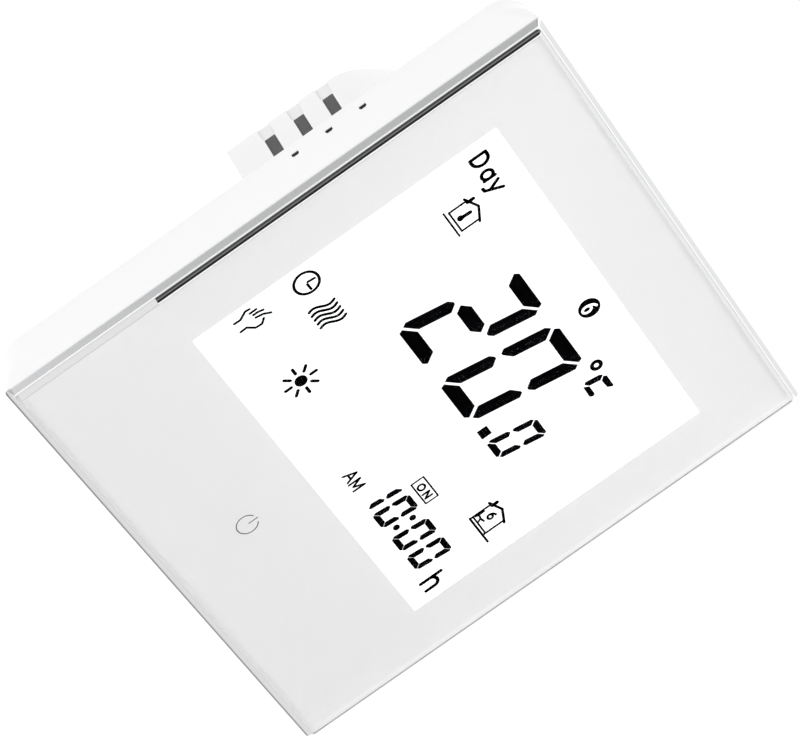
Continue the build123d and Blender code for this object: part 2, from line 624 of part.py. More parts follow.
# ---------------------------------------------------------------- terminal block
BLOCK_BACK = 18.0
CELL_ROOF = 16.3
BAR_Y = (10.9, 11.6)
with BuildPart() as terminal_block:
    block((-BLOCK_X, BLOCK_X), (POWER_BACK + 0.05, BLOCK_BACK), BLOCK_Z)
    chamfer(terminal_block.edges().group_by(Axis.Y)[-1], 0.5)
    for x in TERMINAL_X:
        block((x - 2.8, x + 2.8), (POWER_BACK, CELL_ROOF), (-17.6, -6.6), mode=Mode.SUBTRACT)
        block((x - 2.4, x + 2.4), (6.3, 10.9), (BLOCK_Z[0], -17.6), mode=Mode.SUBTRACT)
        rod(x, TERMINAL_Z, 2.8, (CELL_ROOF, BLOCK_BACK), mode=Mode.SUBTRACT)
keep(terminal_block, "terminal_block")

with BuildPart() as terminal_bars:
    for x in TERMINAL_X:
        block((x - 1.9, x + 1.9), BAR_Y, (-17.5, -6.8))
        block((x - 1.0, x + 1.0), (POWER_BACK, BAR_Y[1]), (-7.5, -6.8))
keep(terminal_bars, "terminal_bars")

CAGE_FLOOR = (5.4, 6.2)
CAGE_ROOF = (11.8, 12.7)
for number, x in enumerate(TERMINAL_X, start=1):
    with BuildPart() as terminal_cage:
        block((x - 2.7, x + 2.7), (CAGE_FLOOR[0], CAGE_ROOF[1]), (-16.8, -9.2))
        block((x - 2.25, x + 2.25), (CAGE_FLOOR[1], CAGE_ROOF[0]), (-16.8, -9.2), mode=Mode.SUBTRACT)
        rod(x, TERMINAL_Z, 1.5, CAGE_ROOF, mode=Mode.SUBTRACT)
    keep(terminal_cage, f"terminal_cage_{number}")

    with BuildPart() as terminal_screw:
        rod(x, TERMINAL_Z, 1.44, (BAR_Y[1] + 0.1, 16.6))
        rod(x, TERMINAL_Z, 2.5, (16.5, 17.7))
        block((x - 3, x + 3), (17.1, 17.7), (TERMINAL_Z - 0.3, TERMINAL_Z + 0.3), mode=Mode.SUBTRACT)
    keep(terminal_screw, f"terminal_screw_{number}")
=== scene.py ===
"""Looks of the wall-mounted heating timer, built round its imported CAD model.

Lengths are metres in the CAD's frame, and millimetres where a number is multiplied by MM.
"""

import math

import bpy
from mathutils import Matrix, Vector


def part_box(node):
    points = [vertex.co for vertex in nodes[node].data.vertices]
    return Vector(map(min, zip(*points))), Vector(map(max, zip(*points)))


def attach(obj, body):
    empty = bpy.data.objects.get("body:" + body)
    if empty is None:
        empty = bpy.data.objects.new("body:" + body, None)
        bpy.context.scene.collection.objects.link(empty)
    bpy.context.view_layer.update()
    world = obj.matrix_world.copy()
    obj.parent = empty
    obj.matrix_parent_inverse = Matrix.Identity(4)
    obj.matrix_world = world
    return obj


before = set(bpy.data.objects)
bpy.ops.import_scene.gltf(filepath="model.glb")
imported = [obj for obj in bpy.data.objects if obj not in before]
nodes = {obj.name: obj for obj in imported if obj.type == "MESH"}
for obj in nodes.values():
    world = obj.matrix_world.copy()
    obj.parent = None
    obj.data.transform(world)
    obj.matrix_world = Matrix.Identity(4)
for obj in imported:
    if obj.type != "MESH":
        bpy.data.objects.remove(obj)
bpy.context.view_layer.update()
MM = 0.001

# ---------------------------------------------------------------- places taken from the CAD
GLASS_LOW, GLASS_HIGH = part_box("front_glass")
GLASS_FRONT_Y = GLASS_LOW.y
PRINT_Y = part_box("mask_film")[0].y
DISPLAY_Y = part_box("front_polariser")[0].y
GLASS_HALF = GLASS_HIGH.x
GLASS_BACK_Y = GLASS_HIGH.y

# ---------------------------------------------------------------- camera
CAMERA_AT = Vector((-453.9, -480.1, 36.4)) * MM + Vector((0, GLASS_FRONT_Y, 0))
CAMERA_AZIMUTH = 42.935
CAMERA_ELEVATION = 3.156
CAMERA_ROLL = 54.964
CAMERA_LENS = 217.18
CAMERA_SENSOR = 36.0


def make_camera():
    azimuth, elevation = math.radians(-CAMERA_AZIMUTH), math.radians(CAMERA_ELEVATION)
    turn = (
        Matrix.Rotation(azimuth, 4, "Z")
        @ Matrix.Rotation(math.pi / 2 - elevation, 4, "X")
        @ Matrix.Rotation(math.radians(CAMERA_ROLL), 4, "Z")
    )
    data = bpy.data.cameras.new("camera")
    data.lens = CAMERA_LENS
    data.sensor_width = CAMERA_SENSOR
    camera = bpy.data.objects.new("camera", data)
    camera.matrix_world = Matrix.Translation(CAMERA_AT) @ turn
    bpy.context.collection.objects.link(camera)
    bpy.context.scene.camera = camera


# ---------------------------------------------------------------- stage
FLOOR_Z = -0.115
FLOOR_SIZE = 12.0
FLOOR_SHADE = 0.93
FLOOR_GLOW = 0.12
WHITE_LIGHT = (1, 1, 1, 1)


def make_world():
    world = bpy.data.worlds.new("studio")
    world.use_nodes = True
    background = world.node_tree.nodes["Background"]
    background.inputs["Color"].default_value = WHITE_LIGHT
    background.inputs["Strength"].default_value = 1.0
    bpy.context.scene.world = world
    bpy.context.scene.view_settings.view_transform = "Standard"
    bpy.context.scene.view_settings.look = "None"


def rectangle(name, width, height, z=0.0):
    """A flat rectangle, level at height z, linked as an object of that name."""
    mesh = bpy.data.meshes.new(name)
    w, h = width / 2, height / 2
    mesh.from_pydata([(-w, -h, z), (w, -h, z), (w, h, z), (-w, h, z)], [], [(0, 1, 2, 3)])
    sheet = bpy.data.objects.new(name, mesh)
    bpy.context.collection.objects.link(sheet)
    return sheet


def make_floor():
    floor = rectangle("floor", FLOOR_SIZE, FLOOR_SIZE, FLOOR_Z)
    look, tree, shader = new_material("floor")
    shader.inputs["Base Color"].default_value = (FLOOR_SHADE, FLOOR_SHADE, FLOOR_SHADE, 1)
    shader.inputs["Roughness"].default_value = 0.9
    shader.inputs["Emission Color"].default_value = WHITE_LIGHT
    shader.inputs["Emission Strength"].default_value = FLOOR_GLOW
    floor.data.materials.append(look)


def make_light(name, at, size, watts):
    """A square lamp aimed at the frame's origin."""
    data = bpy.data.lights.new(name, "AREA")
    data.shape = "SQUARE"
    data.size = size
    data.energy = watts
    light = bpy.data.objects.new(name, data)
    light.location = at
    light.rotation_euler = (-Vector(at)).to_track_quat("-Z", "Y").to_euler()
    bpy.context.collection.objects.link(light)


def make_card(name, at, width, height, shade, through_glass=False):
    """A card facing the frame's origin that shows only in glossy reflections.

    With through_glass it also shows to rays that have passed through glass.
    """
    card = rectangle(name, width, height)
    card.location = at
    card.rotation_euler = (-Vector(at)).to_track_quat("Z", "Y").to_euler()
    card.visible_camera = False
    card.visible_diffuse = False
    card.visible_shadow = False
    card.visible_transmission = through_glass
    look, tree, shader = new_material(name)
    tree.nodes.remove(shader)
    glow = tree.nodes.new("ShaderNodeEmission")
    glow.inputs["Color"].default_value = (shade, shade, shade, 1)
    tree.links.new(glow.outputs[0], tree.nodes["Material Output"].inputs["Surface"])
    card.data.materials.append(look)


# ---------------------------------------------------------------- materials
CLOUD_SCALE = 60.0  # soft patches a centimetre or two across
RELIEF_STRENGTH = 0.25
MOULDED_RELIEF = 0.02 * MM


def new_material(name):
    look = bpy.data.materials.new(name)
    look.use_nodes = True
    return look, look.node_tree, look.node_tree.nodes["Principled BSDF"]


def place(tree):
    """The object's own coordinates, which are the CAD frame's, in metres."""
    return tree.nodes.new("ShaderNodeTexCoord").outputs["Object"]


def noise(tree, scale, detail=2.0, stretch=(1, 1, 1)):
    mapping = tree.nodes.new("ShaderNodeMapping")
    mapping.inputs["Scale"].default_value = stretch
    tree.links.new(place(tree), mapping.inputs["Vector"])
    texture = tree.nodes.new("ShaderNodeTexNoise")
    texture.inputs["Scale"].default_value = scale
    texture.inputs["Detail"].default_value = detail
    tree.links.new(mapping.outputs["Vector"], texture.inputs["Vector"])
    return texture.outputs["Fac"]


def remap(tree, value, low, high):
    """Stretches a value between 0 and 1 to lie between low and high."""
    node = tree.nodes.new("ShaderNodeMapRange")
    node.inputs["To Min"].default_value = low
    node.inputs["To Max"].default_value = high
    tree.links.new(value, node.inputs["Value"])
    return node.outputs["Result"]


def mix_node(tree, value, first, second):
    """Mixes two colours, each a tuple or a socket, by a value."""
    node = tree.nodes.new("ShaderNodeMix")
    node.data_type = "RGBA"
    tree.links.new(value, node.inputs[0])
    for index, colour in ((6, first), (7, second)):
        if isinstance(colour, tuple):
            node.inputs[index].default_value = (*colour, 1)
        else:
            tree.links.new(colour, node.inputs[index])
    return node.outputs[2]


def bump(tree, shader, height, strength, distance):
    node = tree.nodes.new("ShaderNodeBump")
    node.inputs["Strength"].default_value = strength
    node.inputs["Distance"].default_value = distance
    tree.links.new(height, node.inputs["Height"])
    tree.links.new(node.outputs["Normal"], shader.inputs["Normal"])


def surface(
    name,
    colour,
    roughness,
    metallic=0.0,
    grain=0.04,
    grain_scale=900.0,
    relief=0.0,
    stretch=(1, 1, 1),
):
    """A surface that varies finely in colour and roughness, and in height if relief is given."""
    look, tree, shader = new_material(name)
    shader.inputs["Metallic"].default_value = metallic
    value = noise(tree, grain_scale, 3.0, stretch)
    darker = tuple(c * (1 - grain) for c in colour)
    tree.links.new(mix_node(tree, value, colour, darker), shader.inputs["Base Color"])
    cloud = noise(tree, CLOUD_SCALE)
    tree.links.new(remap(tree, cloud, roughness * 0.85, roughness * 1.15), shader.inputs["Roughness"])
    if relief:
        bump(tree, shader, value, RELIEF_STRENGTH, relief)
    return look


def ink_look(name, colour, glow=0.0):
    """Dull ink with no sheen of its own, or a gap in the ink that the display's light shines through."""
    look = surface(name, colour, 0.7, grain=0.1)
    shader = look.node_tree.nodes["Principled BSDF"]
    shader.inputs["Specular IOR Level"].default_value = 0.0
    shader.inputs["Emission Color"].default_value = WHITE_LIGHT
    shader.inputs["Emission Strength"].default_value = glow
    return look


def compare(tree, value, threshold, above=True):
    """1 where the value is over the threshold, or under it if above is false, and 0 elsewhere."""
    node = tree.nodes.new("ShaderNodeMath")
    node.operation = "GREATER_THAN" if above else "LESS_THAN"
    tree.links.new(value, node.inputs[0])
    node.inputs[1].default_value = threshold
    return node.outputs[0]


def combine(tree, operation, *values):
    """A maths node's result, each value being a number or a socket."""
    node = tree.nodes.new("ShaderNodeMath")
    node.operation = operation
    for index, value in enumerate(values):
        if isinstance(value, (int, float)):
            node.inputs[index].default_value = value
        else:
            tree.links.new(value, node.inputs[index])
    return node.outputs[0]


def split(tree):
    """The x, y and z of place(), as sockets."""
    node = tree.nodes.new("ShaderNodeSeparateXYZ")
    tree.links.new(place(tree), node.inputs[0])
    return node.outputs


def reach(tree, x, z):
    """How far a point is from the panel's middle, to the nearer pair of its sides."""
    return combine(tree, "MAXIMUM", combine(tree, "ABSOLUTE", x), combine(tree, "ABSOLUTE", z))


def grey(shade):
    return (shade, shade, shade)


def let_lamps_through(tree, shader, clear):
    """Lets light from lamps pass straight through the shader as far as clear says, from 0 to 1."""
    path = tree.nodes.new("ShaderNodeLightPath")
    gap = tree.nodes.new("ShaderNodeBsdfTransparent")
    mix = tree.nodes.new("ShaderNodeMixShader")
    tree.links.new(combine(tree, "MULTIPLY", path.outputs["Is Shadow Ray"], clear), mix.inputs[0])
    tree.links.new(shader.outputs[0], mix.inputs[1])
    tree.links.new(gap.outputs[0], mix.inputs[2])
    tree.links.new(mix.outputs[0], tree.nodes["Material Output"].inputs["Surface"])


GLASS_IOR = 1.5
GLASS_CHAMFER = 0.5 * MM
GLASS_FLAT_REACH = GLASS_HALF - GLASS_CHAMFER
HAIR = 0.02 * MM
DARK_EDGE_LOW = -19.5 * MM
DARK_EDGE_REACH = 41.81 * MM
DARK_EDGE_BACK = 0.95 * MM
GLINT_LINE_Y = (GLASS_FRONT_Y + 0.39 * MM, GLASS_FRONT_Y + 0.48 * MM)
RIM_PAINTED_LIGHT = 0.38
RIGHT_RIM_PAINTED_LIGHT = 0.50
LOWER_RIM_PAINTED_LIGHT = 0.24
UPPER_LEFT_RIM_PAINTED_HIGHLIGHT = 0.60
GROUND_ROUGHNESS = 0.35
DARK_EDGE_ROUGHNESS = 0.10


def front_glass_look():
    """Clear glass with a pale ground edge whose glow is painted light for the light inside the glass.

    The glow is brighter at the right, a painted highlight at the upper left and painted shade
    underneath.
    The left edge is dark over its upper part, with a painted glint line in it.
    """
    look, tree, shader = new_material("front_glass")
    shader.inputs["IOR"].default_value = GLASS_IOR
    x, y, z = split(tree)

    outside = compare(tree, reach(tree, x, z), GLASS_FLAT_REACH + HAIR)
    rim = combine(tree, "MULTIPLY", outside, compare(tree, y, GLASS_BACK_Y - HAIR, above=False))
    left = compare(tree, x, -DARK_EDGE_REACH, above=False)
    high = compare(tree, z, DARK_EDGE_LOW)
    front = compare(tree, y, GLASS_FRONT_Y + DARK_EDGE_BACK, above=False)
    dark = combine(tree, "MULTIPLY", combine(tree, "MULTIPLY", left, high), front)
    not_dark = combine(tree, "SUBTRACT", 1.0, dark)

    # A painted glint: a paler line across the dark edge.
    glint_front, glint_back = GLINT_LINE_Y
    past_front = compare(tree, y, glint_front)
    glint = combine(tree, "MULTIPLY", past_front, compare(tree, y, glint_back, above=False))
    black = mix_node(tree, glint, (0.012, 0.012, 0.013), (0.17, 0.17, 0.175))
    ground = mix_node(tree, noise(tree, 1500.0), grey(0.31), (0.28, 0.28, 0.285))
    edge = mix_node(tree, dark, ground, black)
    tree.links.new(mix_node(tree, rim, grey(1.0), edge), shader.inputs["Base Color"])

    # Painted light on the rim: brighter at the right, a painted highlight at the upper left, painted
    # shade underneath.
    under = compare(tree, z, -GLASS_FLAT_REACH, above=False)
    at_left = compare(tree, x, -GLASS_FLAT_REACH, above=False)
    at_right = compare(tree, x, GLASS_FLAT_REACH)
    glow = mix_node(tree, at_right, grey(RIM_PAINTED_LIGHT), grey(RIGHT_RIM_PAINTED_LIGHT))
    glow = mix_node(tree, under, glow, grey(LOWER_RIM_PAINTED_LIGHT))
    upper_left = combine(tree, "MULTIPLY", at_left, high)
    glow = mix_node(tree, upper_left, glow, grey(UPPER_LEFT_RIM_PAINTED_HIGHLIGHT))
    lit = combine(tree, "MULTIPLY", rim, not_dark)
    tree.links.new(mix_node(tree, lit, grey(0.0), glow), shader.inputs["Emission Color"])
    shader.inputs["Emission Strength"].default_value = 1.0

    clear = combine(tree, "SUBTRACT", 1.0, rim)
    tree.links.new(clear, shader.inputs["Transmission Weight"])
    smoother = combine(tree, "MULTIPLY", dark, GROUND_ROUGHNESS - DARK_EDGE_ROUGHNESS)
    matt = combine(tree, "SUBTRACT", GROUND_ROUGHNESS, smoother)
    tree.links.new(combine(tree, "MULTIPLY", rim, matt), shader.inputs["Roughness"])
    let_lamps_through(tree, shader, not_dark)
    return look


HIGHLIGHT_RING_REACH = 42.36 * MM
LOWER_SIDE = 42.0 * MM
LOWER_EDGE_REACH = 42.72 * MM


def front_frame_look():
    """Satin silver, a pale painted highlight round the glass, and painted shade below, darkest at the
    outer edge.
    """
    look, tree, shader = new_material("silver")
    x, _, z = split(tree)
    # The ring round the glass is a painted highlight, pale and not metallic.
    ring = compare(tree, reach(tree, x, z), HIGHLIGHT_RING_REACH, above=False)
    # Painted shade: darker along the lower side, darkest along its outer edge.
    bottom = compare(tree, z, -LOWER_SIDE, above=False)
    low_edge = compare(tree, z, -LOWER_EDGE_REACH, above=False)
    grain = noise(tree, 2500.0, 3.0)
    silver = mix_node(tree, grain, (0.76, 0.765, 0.775), (0.73, 0.735, 0.745))
    painted_lower_shade = mix_node(tree, bottom, silver, (0.54, 0.54, 0.55))
    painted_edge_shade = mix_node(tree, low_edge, painted_lower_shade, (0.20, 0.20, 0.205))
    highlight_ring = mix_node(tree, bottom, grey(0.87), grey(0.62))
    tree.links.new(mix_node(tree, ring, painted_edge_shade, highlight_ring), shader.inputs["Base Color"])
    tree.links.new(remap(tree, ring, 0.85, 0.0), shader.inputs["Metallic"])
    satin = remap(tree, noise(tree, CLOUD_SCALE), 0.21, 0.27)
    matt_ring = combine(tree, "MULTIPLY", ring, 0.6)
    tree.links.new(combine(tree, "MAXIMUM", satin, matt_ring), shader.inputs["Roughness"])
    return look


GROOVE_FRONT = 22.7 * MM
GROOVE_TOP = 14.1 * MM
GROOVE_FLOOR_X = (24.5 * MM, 24.8 * MM)


def box_look():
    """White moulding, with painted shade in the shallow grooves behind the vents."""
    look, tree, shader = new_material("box")
    x, y, z = split(tree)
    inner, outer = GROOVE_FLOOR_X
    side = combine(tree, "ABSOLUTE", x)
    behind = compare(tree, y, GROOVE_FRONT)
    beside_vents = combine(tree, "MULTIPLY", behind, compare(tree, z, GROOVE_TOP, above=False))
    past_inner = compare(tree, side, inner)
    deep = combine(tree, "MULTIPLY", past_inner, compare(tree, side, outer, above=False))
    # Painted shade in the grooves behind the vents.
    painted_groove_shade = combine(tree, "MULTIPLY", beside_vents, deep)
    grain = noise(tree, 1800.0, 3.0)
    plain = mix_node(tree, grain, grey(0.86), grey(0.847))
    tree.links.new(mix_node(tree, painted_groove_shade, plain, grey(0.80)), shader.inputs["Base Color"])
    cloud = noise(tree, CLOUD_SCALE)
    tree.links.new(remap(tree, cloud, 0.43, 0.57), shader.inputs["Roughness"])
    bump(tree, shader, grain, RELIEF_STRENGTH, MOULDED_RELIEF)
    return look


WIRE_PITCH = 0.34 * MM
WIRE_STRENGTH = 0.4
WIRE_RELIEF = 0.04 * MM


def shade_gauze_look():
    """Fine wire cloth, dark as painted shade inside the vents."""
    look, tree, shader = new_material("gauze")
    _, y, z = split(tree)
    turns = 2 * math.pi / WIRE_PITCH
    wires = [combine(tree, "SINE", combine(tree, "MULTIPLY", value, turns)) for value in (y, z)]
    weave = combine(tree, "MULTIPLY", *wires)
    cloud = noise(tree, 700.0)
    uneven = combine(tree, "MULTIPLY", cloud, 0.35)
    lit = combine(tree, "ADD", remap(tree, weave, 0.25, 0.65), uneven)
    wire = mix_node(tree, lit, (0.025, 0.025, 0.027), (0.14, 0.14, 0.145))
    tree.links.new(wire, shader.inputs["Base Color"])
    tree.links.new(remap(tree, cloud, 0.5, 0.7), shader.inputs["Roughness"])
    bump(tree, shader, weave, WIRE_STRENGTH, WIRE_RELIEF)
    return look


DISPLAY_GLOW = 0.55


def display_look():
    """The lit white face of the display, a little dimmer in soft patches."""
    look, tree, shader = new_material("display_face")
    shader.inputs["Base Color"].default_value = (0.82, 0.83, 0.83, 1)
    shader.inputs["Roughness"].default_value = 0.5
    shader.inputs["Emission Strength"].default_value = DISPLAY_GLOW
    glow = mix_node(tree, noise(tree, 25.0), grey(1.0), (0.96, 0.97, 0.98))
    tree.links.new(glow, shader.inputs["Emission Color"])
    return look


def board_look():
    """Green solder mask over faint copper tracks."""
    look, tree, shader = new_material("board")
    brick = tree.nodes.new("ShaderNodeTexBrick")
    brick.inputs["Scale"].default_value = 260.0
    brick.inputs["Mortar Size"].default_value = 0.012
    brick.inputs["Color1"].default_value = (0.010, 0.090, 0.040, 1)
    brick.inputs["Color2"].default_value = (0.012, 0.105, 0.048, 1)
    brick.inputs["Mortar"].default_value = (0.030, 0.190, 0.085, 1)
    mapping = tree.nodes.new("ShaderNodeMapping")
    mapping.inputs["Rotation"].default_value = (math.pi / 2, 0, 0)
    tree.links.new(place(tree), mapping.inputs["Vector"])
    tree.links.new(mapping.outputs["Vector"], brick.inputs["Vector"])
    tree.links.new(brick.outputs["Color"], shader.inputs["Base Color"])
    tree.links.new(remap(tree, noise(tree, 400.0), 0.28, 0.42), shader.inputs["Roughness"])
    shader.inputs["Coat Weight"].default_value = 0.3
    return look


def clear_look(name, tint, roughness):
    look, tree, shader = new_material(name)
    shader.inputs["Base Color"].default_value = (*tint, 1)
    shader.inputs["Transmission Weight"].default_value = 1.0
    shader.inputs["IOR"].default_value = GLASS_IOR
    cloud = noise(tree, 300.0)
    tree.links.new(remap(tree, cloud, roughness * 0.7, roughness * 1.3), shader.inputs["Roughness"])
    return look


# Each plain surface's colour and roughness, and what else surface() is told about it.
SURFACES = {
    "print": (grey(0.91), 0.5, {"grain": 0.01}),
    "tape": ((0.75, 0.75, 0.72), 0.7, {"grain": 0.08}),
    "cover": (grey(0.85), 0.42, {"grain": 0.012, "grain_scale": 2200, "relief": MOULDED_RELIEF}),
    "holder": ((0.84, 0.84, 0.83), 0.5, {"grain": 0.02}),
    "terminal": ((0.80, 0.80, 0.79), 0.45, {"grain": 0.03, "relief": MOULDED_RELIEF}),
    "black": ((0.018, 0.018, 0.019), 0.45, {"grain": 0.2, "relief": MOULDED_RELIEF}),
    "rubber": (grey(0.03), 0.8, {"grain": 0.2}),
    "parts": ((0.025, 0.025, 0.027), 0.5, {"grain": 0.3, "grain_scale": 500}),
    "white_sheet": (grey(0.86), 0.6, {"grain": 0.02}),
    "zinc": ((0.62, 0.64, 0.66), 0.34, {"metallic": 1.0, "grain": 0.16, "grain_scale": 180}),
    "steel": ((0.58, 0.59, 0.60), 0.30, {"metallic": 1.0, "grain": 0.1, "stretch": (1, 12, 1)}),
    "tin": ((0.70, 0.70, 0.69), 0.25, {"metallic": 1.0, "grain": 0.08, "stretch": (1, 8, 1)}),
    "gold": ((0.80, 0.56, 0.20), 0.25, {"metallic": 1.0, "grain": 0.06}),
    "copper": ((0.62, 0.27, 0.12), 0.35, {"metallic": 0.9, "grain": 0.25, "stretch": (1, 30, 1)}),
    "winding": ((0.62, 0.44, 0.04), 0.4, {"grain": 0.15, "stretch": (1, 1, 20)}),
    "film": ((0.60, 0.06, 0.03), 0.35, {"grain": 0.06}),
    "core": ((0.09, 0.09, 0.095), 0.5, {"metallic": 0.6, "grain": 0.5, "stretch": (1, 40, 1)}),
    "relay": ((0.02, 0.07, 0.25), 0.35, {"grain": 0.08}),
    "fuse": ((0.25, 0.25, 0.26), 0.4, {"grain": 0.1}),
    "varistor": ((0.03, 0.13, 0.38), 0.35, {"grain": 0.1}),
    "lamp": ((0.80, 0.76, 0.45), 0.3, {"grain": 0.05}),
}

# Each clear material's tint and roughness.
CLEAR = {
    "glass_sheet": ((0.96, 0.98, 0.97), 0.02),
    "acrylic": ((0.98, 0.99, 0.99), 0.08),
}

SPECIAL_LOOKS = {
    "front_glass": front_glass_look,
    "silver": front_frame_look,
    "box": box_look,
    "display_face": display_look,
    "board": board_look,
}


def make_look(name):
    if name in SURFACES:
        colour, roughness, rest = SURFACES[name]
        return surface(name, colour, roughness, **rest)
    if name in CLEAR:
        return clear_look(name, *CLEAR[name])
    return SPECIAL_LOOKS[name]()


NODE_LOOKS = {
    "front_glass": "front_glass",
    "mask_film": "print",
    "glass_tape": "tape",
    "front_frame": "silver",
    "front_polariser": "display_face",
    "lcd_front_sheet": "glass_sheet",
    "lcd_rear_sheet": "glass_sheet",
    "rear_polariser": "glass_sheet",
    "diffuser_sheet": "white_sheet",
    "light_guide": "acrylic",
    "reflector_sheet": "white_sheet",
    "lcd_holder": "holder",
    "contact_strip": "rubber",
    "backlight_lamps": "lamp",
    "control_board": "board",
    "control_board_screws": "steel",
    "touch_springs": "tin",
    "control_board_parts": "parts",
    "beeper": "black",
    "cell_holder": "black",
    "backup_cell": "tin",
    "room_sensor": "parts",
    "board_plug": "black",
    "plug_pins": "gold",
    "rear_cover": "cover",
    "mounting_plate": "zinc",
    "plate_screws": "steel",
    "rear_box": "box",
    "box_lid": "box",
    "power_board": "board",
    "power_board_screws": "steel",
    "board_socket": "black",
    "transformer_core": "core",
    "transformer_winding": "winding",
    "transformer_bobbin": "black",
    "relay_case": "relay",
    "relay_base": "black",
    "relay_coil": "copper",
    "relay_yoke": "tin",
    "relay_fixed_contact": "copper",
    "relay_armature": "tin",
    "fuse": "fuse",
    "film_capacitor": "film",
    "smoothing_capacitors": "black",
    "varistor": "varistor",
    "power_board_parts": "parts",
    "terminal_block": "terminal",
    "terminal_bars": "copper",
}
for number in range(1, 7):
    NODE_LOOKS[f"terminal_cage_{number}"] = "tin"
    NODE_LOOKS[f"terminal_screw_{number}"] = "steel"


def paint_nodes():
    made = {}
    for node, name in NODE_LOOKS.items():
        if name not in made:
            made[name] = make_look(name)
        mesh = nodes[node].data
        mesh.materials.clear()
        mesh.materials.append(made[name])


# ---------------------------------------------------------------- vents
# All of this section's lengths are in millimetres.
GAUZE_Z = (3.2, 8.1, 13.0)
GAUZE_Y = (11.52, 22.68)
GAUZE_X = (24.55, 24.72)
GAUZE_HALF_HEIGHT = 0.86
SHADE_Z = (6.35, 11.8, 17.25)
SHADE_Y = (-5.28, -4.72)
SHADE_X = (-42.88, -42.5)
SHADE_HALF_HEIGHT = 0.53
PLATE_CORNER = 0.12


def thin_plate(name, x, y, z, look, body):
    """An upright plate between two values on each axis, with its corners taken off."""
    (x0, x1), (y0, y1), (z0, z1) = x, y, z
    c = PLATE_CORNER
    outline = [
        (y0 + c, z0),
        (y1 - c, z0),
        (y1, z0 + c),
        (y1, z1 - c),
        (y1 - c, z1),
        (y0 + c, z1),
        (y0, z1 - c),
        (y0, z0 + c),
    ]
    count = len(outline)
    points = [(px * MM, py * MM, pz * MM) for px in (x0, x1) for py, pz in outline]
    faces = [list(reversed(range(count))), [count + i for i in range(count)]]
    for i in range(count):
        j = (i + 1) % count
        faces.append([i, j, count + j, count + i])
    mesh = bpy.data.meshes.new(name)
    mesh.from_pydata(points, [], faces)
    mesh.materials.append(look)
    piece = bpy.data.objects.new(name, mesh)
    bpy.context.collection.objects.link(piece)
    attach(piece, body)


def fill_vents():
    """Wire cloth in the rear box's vents and dark plates in the panel's air slots, both dark as painted
    shade.
    """
    gauze = shade_gauze_look()
    # Dark plates in the air slots, put there as painted shade inside them.
    dark = surface("slot_painted_shade", grey(0.006), 0.8, grain=0.3)
    for number, middle in enumerate(GAUZE_Z, 1):
        z = (middle - GAUZE_HALF_HEIGHT, middle + GAUZE_HALF_HEIGHT)
        for side, name in ((-1, "left"), (1, "right")):
            x = sorted(side * value for value in GAUZE_X)
            thin_plate(f"vent_gauze_{name}_{number}", x, GAUZE_Y, z, gauze, "base")
    for number, middle in enumerate(SHADE_Z, 1):
        z = (middle - SHADE_HALF_HEIGHT, middle + SHADE_HALF_HEIGHT)
        thin_plate(f"air_slot_shade_{number}", SHADE_X, SHADE_Y, z, dark, "panel")


# ---------------------------------------------------------------- flat drawing on the panel
# All of this section's lengths are in millimetres, except the depths given to Ink.finish.
INK_THICKNESS = 0.02


def arc(x, z, radius_x, radius_z, start, end, steps=16):
    """Points along an ellipse, anticlockwise from start to end in degrees."""
    angles = [math.radians(start + (end - start) * i / steps) for i in range(steps + 1)]
    return [(x + radius_x * math.cos(a), z + radius_z * math.sin(a)) for a in angles]


class Ink:
    """Flat figures drawn in the panel's plane, X and Z, and raised a little off it."""

    def __init__(self):
        self.points = []
        self.faces = []

    def polygon(self, outline):
        start = len(self.points)
        count = len(outline)
        for y in (0.0, INK_THICKNESS):
            self.points += [(x, y, z) for x, z in outline]
        self.faces.append([start + i for i in range(count)])
        self.faces.append([start + count + i for i in reversed(range(count))])
        for i in range(count):
            j = (i + 1) % count
            self.faces.append([start + j, start + i, start + count + i, start + count + j])

    def disc(self, x, z, radius, sides=24):
        turns = [2 * math.pi * i / sides for i in range(sides)]
        self.polygon([(x + radius * math.cos(t), z + radius * math.sin(t)) for t in turns])

    def stroke(self, route, width):
        """A line of round-ended strokes."""
        for x, z in route:
            self.disc(x, z, width / 2, 12)
        for (x0, z0), (x1, z1) in zip(route, route[1:]):
            half = width / 2 / math.hypot(x1 - x0, z1 - z0)
            dx, dz = (z0 - z1) * half, (x1 - x0) * half
            near = [(x0 + dx, z0 + dz), (x0 - dx, z0 - dz)]
            far = [(x1 - dx, z1 - dz), (x1 + dx, z1 + dz)]
            self.polygon(near + far)

    def ring(self, x, z, radius, width, start=0.0, end=360.0, steps=40):
        """A circle's line, or an arc of it from start to end in degrees.

        It runs anticlockwise, and radius is to the line's middle.
        """
        inner, outer = radius - width / 2, radius + width / 2
        inside = arc(x, z, inner, inner, start, end, steps)
        outside = arc(x, z, outer, outer, start, end, steps)
        for i in range(steps):
            self.polygon([inside[i], outside[i], outside[i + 1], inside[i + 1]])

    def finish(self, name, look, y, shift):
        """Makes the piece, at depth y in metres and moved right by shift millimetres."""
        points = [((x + shift) * MM, y - rise * MM, z * MM) for x, rise, z in self.points]
        mesh = bpy.data.meshes.new(name)
        mesh.from_pydata(points, [], self.faces)
        mesh.materials.append(look)
        piece = bpy.data.objects.new(name, mesh)
        bpy.context.collection.objects.link(piece)
        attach(piece, "panel")


SEGMENTS = {"0": "abcdef", "1": "bc", "2": "abged"}


